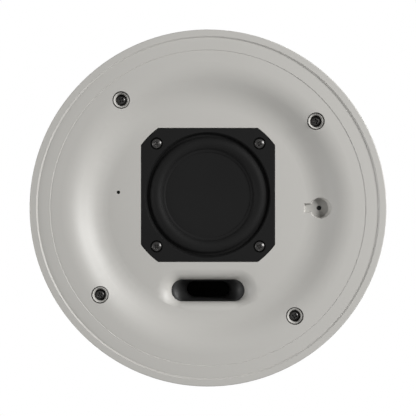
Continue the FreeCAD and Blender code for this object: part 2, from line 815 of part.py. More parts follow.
def rear_can():
    body = new_body("rear_can", turn=S.clamp_angle)
    end_flat = S.can_flat - S.can_draft
    end_corner = S.can_corner_radius - S.can_draft
    bevel = S.can_end_bevel
    loft(body, "outside", [
        can_section(body, "mouth_outside", can_mouth, S.can_flat, S.can_corner_radius),
        can_section(body, "bevel_outside", can_end - bevel, end_flat, end_corner),
        can_section(body, "end_outside", can_end, end_flat - bevel, end_corner - bevel)],
        straight=True)

    panel_low = can_mouth + S.can_panel_margin
    panel_high = can_end - S.can_panel_margin
    sections = []
    for name, level in (("panel_low", panel_low), ("panel_high", panel_high)):
        wall = S.can_flat - S.can_draft * (level - can_mouth) / (S.can_height - bevel)
        section = sketch_on(body, name, z=level)
        rectangle(section, wall - S.can_wall, wall + S.can_panel_relief,
                  -S.can_panel_width / 2, S.can_panel_width / 2)
        sections.append(section)
    panel = loft(body, "panel", sections, straight=True)

    lug = sketch_on(body, "lug_outline", z=can_mouth, turn=45)
    lug_start = S.can_corner_radius - S.can_wall - S.lug_radius
    lug_end = S.lug_distance + S.lug_radius
    stadium(lug, (lug_start + lug_end) / 2, lug_end - lug_start, 2 * S.lug_radius)
    lug_pad = pad(body, "lug", lug, S.lug_thickness)
    four_round(body, "panels_and_lugs", [panel, lug_pad])

    loft(body, "inside", [
        can_section(body, "mouth_inside", can_mouth, S.can_flat - S.can_wall, S.can_corner_radius - S.can_wall),
        can_section(body, "end_inside", can_end_inside, end_flat - S.can_wall, end_corner - S.can_wall)],
        "PartDesign::SubtractiveLoft", straight=True)

    posts = sketch_on(body, "post_outline", z=board_back, turn=-S.clamp_angle)
    circles_at(posts, at_corners(S.board_hole_x, S.board_hole_y), S.board_post_radius)
    pad(body, "posts", posts, S.board_drop + S.can_wall / 2)
    pilots = sketch_on(body, "post_pilot_outline", z=board_back, turn=-S.clamp_angle)
    circles_at(pilots, at_corners(S.board_hole_x, S.board_hole_y), pilot_radius)
    pocket(body, "post_pilots", pilots, S.board_screw_length)

    holes = sketch_on(body, "lug_hole_outline", z=can_mouth, turn=45)
    circles_at(holes, on_axes(S.lug_distance), screw_hole_radius)
    pocket(body, "lug_holes", holes, S.lug_thickness)

    opening = sketch_on(body, "jack_opening_outline", z=board_back, turn=-S.clamp_angle)
    half_length = S.jack_length / 2 + S.jack_clearance
    half_width = S.jack_width / 2 + S.jack_clearance
    rectangle(opening, S.jack_x - half_length, S.jack_x + half_length,
              S.jack_y - half_width, S.jack_y + half_width)
    pocket(body, "jack_opening", opening, S.board_drop + S.can_wall)


def can_gasket():
    body = new_body("can_gasket", turn=S.clamp_angle)
    ring = sketch_on(body, "gasket_outline", z=S.can_seat_height)
    cut_square(ring, S.can_flat, S.can_corner_radius)
    cut_square(ring, S.can_flat - S.can_wall, S.can_corner_radius - S.can_wall)
    pad(body, "gasket", ring, S.can_gasket_thickness)


def ceiling_gasket():
    inner = S.spigot_radius + S.ceiling_gasket_clearance
    tube("ceiling_gasket", inner + S.ceiling_gasket_width, inner,
         -S.ceiling_gasket_thickness, S.ceiling_gasket_thickness)


# Fasteners

def screw_profile(x, under_head, way, radius, length, head_radius, head_height, dome):
    """Half section of a domed screw at x. Its shank runs along Z, up where way is 1."""
    brim = under_head - (head_height - dome) * way
    crown = under_head - head_height * way
    tip = under_head + length * way
    bend = arch_radius(head_radius, dome)
    return [
        (x, crown, bend, way),
        (x + head_radius, brim),
        (x + head_radius, under_head),
        (x + radius, under_head),
        (x + radius, tip - radius * S.screw_point_share * way),
        (x + radius * S.screw_point_share, tip),
        (x, tip)]


def cross_recess(body, level, way, length, width, depth, x=0, y=0):
    """Two crossed slots cut into the head from level."""
    cuts = []
    for number, (long_side, short_side) in enumerate(((length, width), (width, length))):
        slot = sketch_on(body, "recess_outline_%d" % number, x=x, y=y, z=level)
        rectangle(slot, -long_side / 2, long_side / 2, -short_side / 2, short_side / 2)
        cut = pocket(body, "recess_%d" % number, slot, depth)
        cut.Reversed = way > 0
        cuts.append(cut)
    return cuts


def screw_group(label, distance, under_head, way, length, head_radius, turn, y=0):
    """Four equal domed screws round an axis."""
    body = new_body(label, y=y, turn=turn)
    body.AllowCompound = True
    sketch = sketch_on(body, "screw_section", "XZ_Plane", x=distance)
    outline(sketch, screw_profile(as_size(0), under_head, way, S.screw_radius, length, head_radius,
                                  S.screw_head_height, S.screw_dome))
    turn_feature = body.newObject("PartDesign::Revolution", "screw")
    turn_feature.Profile = sketch
    turn_feature.ReferenceAxis = (sketch, ["V_Axis"])
    crown = under_head - S.screw_head_height * way
    cuts = cross_recess(body, crown, way, S.screw_recess_length, S.screw_recess_width,
                        S.screw_recess_depth, x=distance)
    four_round(body, "screws", [turn_feature] + cuts)


def fasteners():
    screw_group("can_screws", S.lug_distance, can_mouth + S.lug_thickness, -1, S.can_screw_length,
                S.screw_head_radius, lug_angle)
    screw_group("driver_screws", S.flange_screw_offset * root(as_size(2)),
                floor_front + S.driver_counterbore_depth, 1, S.driver_screw_length,
                S.driver_head_radius, as_size(45), y=-S.driver_offset)
    body = new_body("board_screws")
    body.AllowCompound = True
    heads = sketch_on(body, "head_outline", z=board_front - S.screw_head_height)
    circles_at(heads, at_corners(S.board_hole_x, S.board_hole_y), S.screw_head_radius)
    pad(body, "heads", heads, S.screw_head_height)
    shanks = sketch_on(body, "shank_outline", z=board_front)
    circles_at(shanks, at_corners(S.board_hole_x, S.board_hole_y), S.screw_radius)
    pad(body, "shanks", shanks, S.board_screw_length)


# The driver, in its own frame: z = 0 is the front of its flange

def driver_body(label):
    return new_body(label, y=-S.driver_offset, z=floor_front)


def driver_frame():
    body = driver_body("driver_frame")
    flange = sketch_on(body, "flange_outline")
    cut_square(flange, S.flange_half, S.flange_corner_radius)
    pad(body, "flange", flange, S.flange_thickness)

    ledge_back = S.surround_ledge_depth + S.surround_ledge_thickness
    foot_inner = S.basket_foot_radius - S.basket_wall
    floor = S.basket_depth - S.basket_floor
    spider_inner = foot_inner - S.spider_ledge_width
    neck_inner = S.frame_neck_radius - S.basket_wall
    turned(body, "basket", [
        (S.frame_throat, S.surround_ledge_depth),
        (S.frame_neck_radius, S.surround_ledge_depth),
        (S.frame_neck_radius, ledge_back),
        (S.basket_foot_radius, S.basket_foot_depth),
        (S.basket_foot_radius, S.basket_foot_depth + S.basket_floor),
        (S.plate_radius, S.basket_depth),
        (S.basket_bore, S.basket_depth),
        (S.basket_bore, floor),
        (spider_inner, floor),
        (spider_inner, S.basket_foot_depth),
        (foot_inner, S.basket_foot_depth),
        (neck_inner, ledge_back),
        (S.frame_throat, ledge_back)])
    turned(body, "opening", [
        (0, -S.rubber),
        (S.frame_opening + S.frame_opening_chamfer + S.rubber, -S.rubber),
        (S.frame_opening, S.frame_opening_chamfer),
        (S.frame_opening_foot, S.surround_ledge_depth),
        (S.frame_throat, S.surround_ledge_depth),
        (S.frame_throat, ledge_back),
        (0, ledge_back)], "PartDesign::Groove")
    window = turned(body, "window", [
        (spider_inner, ledge_back + S.basket_wall),
        (S.flange_half, ledge_back + S.basket_wall),
        (S.flange_half, S.basket_foot_depth - S.basket_wall),
        (spider_inner, S.basket_foot_depth - S.basket_wall)],
        "PartDesign::Groove", angle=S.basket_window_angle)
    four_round(body, "windows", [window])

    places = at_corners(S.flange_screw_offset, S.flange_screw_offset)
    sinks = sketch_on(body, "counterbore_outline")
    circles_at(sinks, places, S.driver_counterbore_radius)
    pocket(body, "counterbores", sinks, S.driver_counterbore_depth)
    holes = sketch_on(body, "screw_hole_outline")
    circles_at(holes, places, screw_hole_radius)
    pocket(body, "screw_holes", holes, S.flange_thickness)


def driver_gasket():
    body = driver_body("driver_gasket")
    ring = sketch_on(body, "gasket_outline", z=S.flange_thickness)
    cut_square(ring, S.flange_half, S.flange_corner_radius)
    circle(ring, 0, 0, S.frame_neck_radius + S.frame_neck_clearance)
    circles_at(ring, at_corners(S.flange_screw_offset, S.flange_screw_offset), screw_hole_radius)
    pad(body, "gasket", ring, S.driver_gasket_thickness)


def arch_radius(half_span, rise):
    return (half_span * half_span + rise * rise) / (2 * rise)


def surround():
    """A half roll that bulges to the room, with an outer foot on the frame and an inner one on the disc."""
    body = driver_body("surround")
    front = surround_front
    back = S.surround_ledge_depth
    foot_front = front - S.surround_foot_thickness
    outer_rise = S.roll_height - S.surround_foot_thickness
    outer_bend = arch_radius(S.roll_half_width, outer_rise)
    inner_half = S.roll_half_width - S.rubber
    inner_bend = arch_radius(inner_half, S.roll_height)
    turned(body, "rubber_roll", [
        (S.surround_foot_radius, front),
        (S.surround_foot_radius, foot_front),
        (roll_inner, foot_front, outer_bend, 1),
        (S.roll_centre, foot_front - outer_rise, outer_bend, 1),
        (roll_outer, foot_front),
        (S.frame_opening_foot, foot_front),
        (S.frame_opening_foot, back),
        (S.roll_centre + inner_half, back, inner_bend, -1),
        (S.roll_centre, back - S.roll_height, inner_bend, -1),
        (S.roll_centre - inner_half, back),
        (roll_inner, back),
        (roll_inner, front)])


def diaphragm():
    body = driver_body("diaphragm")
    edge = roll_inner - S.rubber / 2
    dish = S.diaphragm_dish
    bend = arch_radius(S.surround_foot_radius, dish)
    front = surround_front
    back = front + S.diaphragm_thickness
    turned(body, "disc", [
        (0, front + dish, bend, -1),
        (S.surround_foot_radius, front),
        (edge, front),
        (edge, back),
        (S.surround_foot_radius, back, bend, 1),
        (0, back + dish)])


def voice_coil():
    start = surround_front + S.diaphragm_thickness + S.diaphragm_dish
    former = driver_body("voice_coil_former")
    turned(former, "former", [
        (S.former_radius, start), (former_outer, start),
        (former_outer, S.former_end_depth), (S.former_radius, S.former_end_depth)])
    coil = driver_body("voice_coil")
    end = S.coil_start_depth + S.coil_length
    turned(coil, "winding", [
        (former_outer, S.coil_start_depth), (former_outer + S.coil_wire, S.coil_start_depth),
        (former_outer + S.coil_wire, end), (former_outer, end)])


def spider():
    """Corrugated cloth from the former out to its ledge."""
    body = driver_body("spider")
    inner = former_outer + S.spider_clearance
    outer = S.basket_foot_radius - S.basket_wall
    ledge = outer - S.spider_ledge_width
    waves = 6
    pitch = (ledge - inner) / waves
    back = S.basket_foot_depth
    front = back - S.spider_cloth
    low = [(inner + pitch * step, front - S.spider_wave * (step % 2)) for step in range(waves + 1)]
    high = [(x, z + S.spider_cloth) for x, z in low]
    turned(body, "cloth", low + [(outer, front), (outer, back)] + high[::-1])


def motor():
    plate = driver_body("top_plate")
    turned(plate, "plate", [
        (S.plate_bore, S.basket_depth), (S.plate_radius, S.basket_depth),
        (S.plate_radius, plate_back), (S.plate_bore, plate_back)])
    magnet = driver_body("magnet")
    edge = S.basket_floor / 2
    turned(magnet, "ferrite", [
        (S.magnet_bore, plate_back),
        (S.magnet_radius - edge, plate_back),
        (S.magnet_radius, plate_back + edge),
        (S.magnet_radius, magnet_back - edge),
        (S.magnet_radius - edge, magnet_back),
        (S.magnet_bore, magnet_back)])
    yoke = driver_body("yoke")
    end = magnet_back + S.yoke_thickness
    turned(yoke, "back_plate_and_pole", [
        (S.pole_vent, S.basket_depth - edge),
        (S.pole_radius, S.basket_depth - edge),
        (S.pole_radius, magnet_back),
        (S.yoke_radius, magnet_back),
        (S.yoke_radius, end - edge),
        (S.yoke_radius - edge, end),
        (S.pole_vent, end)])


def driver_terminals():
    """A terminal strip on the basket's foot, with two lugs."""
    body = driver_body("driver_terminals")
    strip_x = S.basket_foot_radius
    level = S.basket_foot_depth
    strip = sketch_on(body, "strip_outline", z=level, turn=45)
    rectangle(strip, strip_x, strip_x + S.terminal_strip, -S.terminal_width / 2, S.terminal_width / 2)
    pad(body, "strip", strip, S.terminal_height)
    lugs = sketch_on(body, "lug_outline", z=level + S.terminal_height / 2, turn=45)
    for side in (1, -1):
        middle = S.terminal_lug_spacing * side
        half = S.terminal_lug_width / 2
        rectangle(lugs, strip_x + S.terminal_strip, strip_x + S.terminal_strip + S.terminal_lug_length,
                  middle - half, middle + half)
    pad(body, "lugs", lugs, S.terminal_lug_sheet)


# The port duct

def port_duct():
    """Black duct: a bell mouth that narrows to the throat, a straight run and a flared end."""
    body = new_body("port_duct", y=S.port_offset, z=port_boss_back)
    flange = sketch_on(body, "flange_outline")
    margin = 2 * S.duct_flange_margin
    stadium(flange, 0, S.slot_length + margin, S.slot_height + margin)
    pad(body, "flange", flange, S.duct_flange_thickness)
    levels = [
        ("mouth", as_size(0), S.slot_length, S.slot_height),
        ("bell", S.duct_bell_level, S.duct_bell_length, S.duct_bell_height),
        ("throat", S.duct_throat_depth, S.duct_throat_length, S.duct_throat_height),
        ("straight", S.duct_straight, S.duct_throat_length, S.duct_throat_height),
        ("spread", S.duct_spread_level, S.duct_spread_length, S.duct_spread_height),
        ("end", S.duct_depth, S.duct_end_length, S.duct_end_height)]
    wall = 2 * S.duct_wall
    for kind, extra, word in (("PartDesign::AdditiveLoft", wall, "outer"),
                              ("PartDesign::SubtractiveLoft", as_size(0), "inner")):
        sections = []
        for name, level, length, height in levels:
            section = sketch_on(body, name + "_" + word, z=level)
            stadium(section, 0, length + extra, height + extra)
            sections.append(section)
        loft(body, word + "_bell", sections, kind)


# The clamps

def clamp_place(number, level, turn=0):
    """Where a clamp's own frame lies: its axis on the screw, its X pointing outward from the speaker."""
    angle = S.clamp_angle + 90 * number
    return {
        "x": S.clamp_distance * cosine(angle), "y": S.clamp_distance * sine(angle),
        "z": level, "turn": angle + turn}


def clamp_screw(number):
    body = new_body("clamp_screw_%d" % (number + 1), **clamp_place(number, S.clamp_pocket_seat))
    turned(body, "screw", screw_profile(
        0, as_size(0), 1, S.clamp_screw_radius, S.clamp_screw_length, S.clamp_head_radius,
        S.clamp_head_height, S.clamp_head_dome))
    cross_recess(body, -S.clamp_head_height, 1, S.clamp_recess_length, S.clamp_recess_width,
                 S.clamp_recess_depth)


def screw_clip(number):
    tube("screw_clip_%d" % (number + 1), S.clip_radius, S.clamp_screw_radius, as_size(0), S.clip_thickness,
         **clamp_place(number, S.tower_foot + S.clip_gap))


def clamp_insert(number):
    """Threaded brass insert whose collar bears on the hub when the clamp is tightened."""
    body = new_body("clamp_insert_%d" % (number + 1), **clamp_place(number, S.hub_start))
    collar = S.hub_height + S.insert_collar_gap
    bore = S.clamp_screw_radius + S.insert_bore_play
    turned(body, "insert", [
        (bore, 0), (S.insert_radius, 0), (S.insert_radius, collar),
        (S.insert_collar_radius, collar), (S.insert_collar_radius, collar + S.insert_collar),
        (bore, collar + S.insert_collar)])


def clamp_dog(number):
    """Swing-out clamp: a hub, an arm with a foot under it and a gusset over it. At rest it is folded in."""
    body = new_body("clamp_dog_%d" % (number + 1), **clamp_place(number, S.hub_start, turn=-90))
    hub = sketch_on(body, "hub_outline")
    circle(hub, 0, 0, hub_radius)
    pad(body, "hub", hub, S.hub_height)
    arm = sketch_on(body, "arm_outline", z=S.arm_level)
    half = S.arm_half_width
    stadium(arm, (S.arm_reach - half) / 2, S.arm_reach + half, 2 * half)
    pad(body, "arm", arm, S.arm_thickness)
    foot = sketch_on(body, "foot_outline", z=-S.foot_drop)
    stadium(foot, (S.foot_start + S.arm_reach) / 2, S.arm_reach - S.foot_start, 2 * half)
    pad(body, "foot", foot, S.foot_drop + S.arm_level)
    gusset = sketch_on(body, "gusset_outline", "XZ_Plane", z=-S.gusset_width / 2)
    arm_top = S.arm_level + S.arm_thickness
    outline(gusset, [(0, S.arm_level), (S.gusset_reach, S.arm_level), (S.gusset_reach, arm_top),
                     (hub_radius, S.hub_height), (0, S.hub_height)])
    pad(body, "gusset", gusset, S.gusset_width)
    bore = sketch_on(body, "bore_outline", z=-S.foot_drop)
    circle(bore, 0, 0, S.insert_radius + S.insert_fit)
    pocket(body, "bore", bore, S.foot_drop + S.hub_height)


def clamps():
    for number in range(4):
        clamp_screw(number)
    for number in range(4):
        screw_clip(number)
    for number in range(4):
        clamp_insert(number)
    for number in range(4):
        clamp_dog(number)


# Microphone and service switch

def block(body, name, left, right, low, high, start, thickness):
    sketch = sketch_on(body, name + "_outline", z=start)
    rectangle(sketch, left, right, low, high)
    return pad(body, name, sketch, thickness)


def centred_block(body, name, length, width, start, thickness):
    return block(body, name, -length / 2, length / 2, -width / 2, width / 2, start, thickness)


def microphone():
    place = {"x": -S.mic_offset, "y": -S.mic_rise}
    tube("microphone_boot", S.mic_boot_radius, S.mic_hole_radius, floor_back, S.mic_boot_height, **place)
    board = new_body("microphone_board", **place)
    centred_block(board, "board", S.mic_board_length, S.mic_board_width, mic_board_front,
                  S.board_thickness / 2)
    port = sketch_on(board, "port_outline", z=mic_board_front)
    circle(port, 0, 0, S.mic_hole_radius / 2)
    pocket(board, "port", port, S.board_thickness)
    chip = new_body("microphone_chip", **place)
    centred_block(chip, "chip", S.mic_chip_length, S.mic_chip_width,
                  mic_board_front + S.board_thickness / 2, S.mic_chip_height)


def service_switch():
    board = new_body("control_board", x=S.recess_offset)
    centred_block(board, "board", S.control_board_length, S.control_board_width, control_board_front,
                  S.board_thickness)
    places = [(0, S.post_offset), (0, -S.post_offset)]
    holes = sketch_on(board, "hole_outline", z=control_board_front)
    circles_at(holes, places, S.control_screw_radius + S.screw_clearance)
    pocket(board, "holes", holes, S.board_thickness)

    screws = new_body("control_screws", x=S.recess_offset)
    screws.AllowCompound = True
    top = control_board_front + S.board_thickness
    shanks = sketch_on(screws, "shank_outline", z=control_screw_tip)
    circles_at(shanks, places, S.control_screw_radius)
    pad(screws, "shanks", shanks, S.control_screw_length)
    heads = sketch_on(screws, "head_outline", z=top)
    circles_at(heads, places, S.control_screw_head)
    pad(screws, "heads", heads, S.control_screw_head_height)

    switch = new_body("reset_switch", x=S.recess_offset)
    centred_block(switch, "case", S.switch_side, S.switch_side, switch_front, S.switch_height)
    well = sketch_on(switch, "well_outline", z=switch_front)
    circle(well, 0, 0, S.pinhole_radius)
    pocket(switch, "well", well, S.switch_well_depth)

    plunger = new_body("reset_plunger", x=S.recess_offset)
    start = service_boss_back - S.plunger_reach
    end = switch_front + S.switch_well_depth - S.plunger_travel
    turned(plunger, "plunger", [
        (0, start), (S.plunger_radius, start), (S.plunger_radius, end), (0, end)])


# Main board under the rear wall of the can

def main_board():
    body = new_body("main_board")
    centred_block(body, "board", S.board_length, S.board_width, board_front, S.board_thickness)
    holes = sketch_on(body, "hole_outline", z=board_front)
    circles_at(holes, at_corners(S.board_hole_x, S.board_hole_y), S.screw_radius + S.screw_clearance)
    pocket(body, "holes", holes, S.board_thickness)


def network_jack():
    body = new_body("network_jack", x=S.jack_x, y=S.jack_y)
    top = can_end + S.jack_proud
    centred_block(body, "case", S.jack_length, S.jack_width, board_back, top - board_back)
    floor = top - S.jack_port_depth
    half = S.jack_port_width / 2
    port = sketch_on(body, "port_outline", z=floor)
    rectangle(port, -S.jack_port_length / 2, S.jack_port_length / 2, -half, half)
    pocket(body, "port", port, S.jack_port_depth)
    key = sketch_on(body, "key_outline", z=floor)
    rectangle(key, -S.jack_key_length / 2, S.jack_key_length / 2, half, half + S.jack_key_width)
    pocket(body, "key", key, S.jack_port_depth)


def board_components():
    capacitors = new_body("board_capacitors")
    capacitors.AllowCompound = True
    cans = sketch_on(capacitors, "can_outline", z=board_back)
    circles_at(cans, [(S.capacitor_x + S.capacitor_pitch * step, S.capacitor_y) for step in range(3)],
               S.capacitor_radius)
    pad(capacitors, "cans", cans, S.capacitor_height)

    inductors = new_body("board_inductors")
    inductors.AllowCompound = True
    cores = sketch_on(inductors, "core_outline", z=board_back)
    half = S.inductor_side / 2
    for step in (0, 1):
        middle = S.inductor_y + S.inductor_pitch * step
        rectangle(cores, S.inductor_x - half, S.inductor_x + half, middle - half, middle + half)
    pad(inductors, "cores", cores, S.inductor_height)

    sink = new_body("heat_sink")
    left = S.sink_x - S.sink_length / 2
    right = S.sink_x + S.sink_length / 2
    block(sink, "base", left, right, S.sink_y - S.sink_width / 2, S.sink_y + S.sink_width / 2,
          board_back, S.sink_base)
    fins = sketch_on(sink, "fin_outline", z=board_back)
    for step in range(-2, 3):
        middle = S.sink_y + S.sink_fin_pitch * step
        rectangle(fins, left, right, middle - S.sink_fin / 2, middle + S.sink_fin / 2)
    pad(sink, "fins", fins, S.sink_height)


def check_everything():
    """Stops where an object failed or a sub-part has no sound shape."""
    doc.recompute()
    faults = [item.Name for item in doc.Objects if "Invalid" in item.State or "Error" in item.State]
    for body in sub_parts:
        if body.Shape.isNull() or not body.Shape.isValid() or not body.Shape.Solids:
            faults.append(body.Label)
    if faults:
        raise RuntimeError("these are not sound: " + ", ".join(faults))


def write_everything():
    os.makedirs("parts", exist_ok=True)
    for body in sub_parts:
        body.Shape.exportStep("parts/%s.step" % body.Label)


front_baffle()
ceiling_gasket()
rear_can()
can_gasket()
fasteners()
driver_frame()
driver_gasket()
surround()
diaphragm()
voice_coil()
spider()
motor()
driver_terminals()
port_duct()
clamps()
microphone()
service_switch()
main_board()
network_jack()
board_components()
check_everything()
write_everything()
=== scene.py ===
import json
import math
import bmesh
import bpy
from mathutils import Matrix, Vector
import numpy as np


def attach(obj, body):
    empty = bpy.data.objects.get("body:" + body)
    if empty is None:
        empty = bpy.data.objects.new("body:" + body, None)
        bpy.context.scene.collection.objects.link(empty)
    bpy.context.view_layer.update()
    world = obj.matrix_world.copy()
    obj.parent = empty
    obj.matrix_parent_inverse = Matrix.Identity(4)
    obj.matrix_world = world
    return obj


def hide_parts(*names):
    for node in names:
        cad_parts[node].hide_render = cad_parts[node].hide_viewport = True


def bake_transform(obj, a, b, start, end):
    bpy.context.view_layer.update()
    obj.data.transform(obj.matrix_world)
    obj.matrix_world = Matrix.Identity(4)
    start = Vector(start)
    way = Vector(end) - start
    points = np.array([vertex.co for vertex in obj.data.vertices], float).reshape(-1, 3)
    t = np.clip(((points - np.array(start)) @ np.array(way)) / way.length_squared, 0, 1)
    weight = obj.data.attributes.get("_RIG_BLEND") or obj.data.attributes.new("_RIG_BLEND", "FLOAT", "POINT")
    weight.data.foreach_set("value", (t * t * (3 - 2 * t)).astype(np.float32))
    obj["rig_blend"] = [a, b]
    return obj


# In-ceiling speaker, seen from the room below it. The object is in millimetres, the studio in metres.

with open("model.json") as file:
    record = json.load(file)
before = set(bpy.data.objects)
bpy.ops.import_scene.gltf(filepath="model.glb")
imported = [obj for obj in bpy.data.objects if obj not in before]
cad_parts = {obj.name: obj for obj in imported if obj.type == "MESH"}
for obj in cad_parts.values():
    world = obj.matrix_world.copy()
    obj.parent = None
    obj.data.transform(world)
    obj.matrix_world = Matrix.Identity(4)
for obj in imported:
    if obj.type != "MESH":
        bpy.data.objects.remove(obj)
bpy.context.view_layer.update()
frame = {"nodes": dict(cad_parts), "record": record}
nodes = frame["nodes"]

MM = 0.001
FLOOR_FRONT = 3.94
DRIVER_Y = -6.65
DRIVER_SCREW_REACH = 26.2
DRIVER_SCREW_SEAT = 1.7
CLAMP_ANGLE = 51.2
CLAMP_DISTANCE = 70.0
CAN_SCREW_DISTANCE = 72.5
CAN_SCREW_SEAT = 14.0
POCKET_SEAT = 8.0
POCKET_REACH = 4.6
HEAD_SEAT = 0.7
PORT_Y = 42.2
PORT_BOSS_BACK = 10.84
SKIN_CREASE = 28

CAMERA_DISTANCE = 0.905
LENS = 154.6
AMBIENT = 0.03
FLOOR_LEVEL = -0.00515
FLOOR_RADIUS = 0.9


# Materials

def add(tree, kind, inputs=None, **settings):
    """A shader node. Each input is a value, or a socket to link from."""
    node = tree.nodes.new("ShaderNode" + kind)
    for key, value in settings.items():
        setattr(node, key, value)
    for key, value in (inputs or {}).items():
        if isinstance(value, bpy.types.NodeSocket):
            tree.links.new(value, node.inputs[key])
        else:
            node.inputs[key].default_value = value
    return node


def blend_colours(tree, factor, first, second):
    """Socket that goes from the first colour to the second."""
    return add(tree, "Mix", {0: factor, 6: first, 7: second}, data_type="RGBA").outputs[2]


def between(tree, value, low, high, to_low=0.0, to_high=1.0):
    return add(tree, "MapRange", {
        "Value": value, "From Min": low, "From Max": high, "To Min": to_low, "To Max": to_high}).outputs[0]


def surface(name, colour, shade, rough, grain, depth, patch=25, edge=0.15, wear=0.0, worn=None,
            metallic=0.0, level=0.5, stretch=None):
    """A finish with broad colour drift, fine grain, uneven gloss and, where set, soft and worn edges.

    colour and shade are linear; rough is the least and most roughness; grain is per metre, depth in mm.
    """
    material = bpy.data.materials.new(name)
    material.use_nodes = True
    tree = material.node_tree
    tree.nodes.clear()
    place = add(tree, "TexCoord").outputs["Object"]
    if stretch:
        place = add(tree, "Mapping", {"Vector": place, "Scale": stretch}).outputs[0]
    broad = add(tree, "TexNoise", {"Vector": place, "Scale": patch, "Detail": 4.0}).outputs["Fac"]
    fine = add(tree, "TexNoise", {"Vector": place, "Scale": grain, "Detail": 2.0}).outputs["Fac"]
    tone = blend_colours(tree, between(tree, broad, 0.3, 0.7), (*colour, 1), (*shade, 1))
    speck = between(tree, fine, 0.35, 0.65, 0.0, 0.25)
    tone = blend_colours(tree, speck, tone, (*shade, 1))
    if edge:
        soft = add(tree, "Bevel", {"Radius": edge * MM}, samples=6).outputs[0]
    else:
        soft = add(tree, "NewGeometry").outputs["Normal"]
    if wear:
        flat = add(tree, "NewGeometry").outputs["Normal"]
        turn = add(tree, "VectorMath", {0: soft, 1: flat}, operation="DOT_PRODUCT").outputs["Value"]
        rubbed = between(tree, turn, 0.995, 0.9)
        patchy = between(tree, fine, 0.4, 0.6, 0.3, 1.0)
        rubbed = add(tree, "Math", {0: rubbed, 1: patchy}, operation="MULTIPLY").outputs[0]
        rubbed = add(tree, "Math", {0: rubbed, 1: wear}, operation="MULTIPLY").outputs[0]
        tone = blend_colours(tree, rubbed, tone, (*(worn or shade), 1))
    gloss = add(tree, "Math", {0: between(tree, broad, 0.3, 0.7, rough[0], rough[1]),
                               1: between(tree, fine, 0.3, 0.7, -0.04, 0.04)}, operation="ADD").outputs[0]
    relief = add(tree, "Bump", {"Height": fine, "Normal": soft, "Distance": depth * MM, "Strength": 1.0})
    shader = add(tree, "BsdfPrincipled", {
        "Base Color": tone, "Roughness": gloss, "Normal": relief.outputs[0], "Metallic": metallic,
        "Specular IOR Level": level})
    output = add(tree, "OutputMaterial")
    tree.links.new(shader.outputs[0], output.inputs[0])
    return material


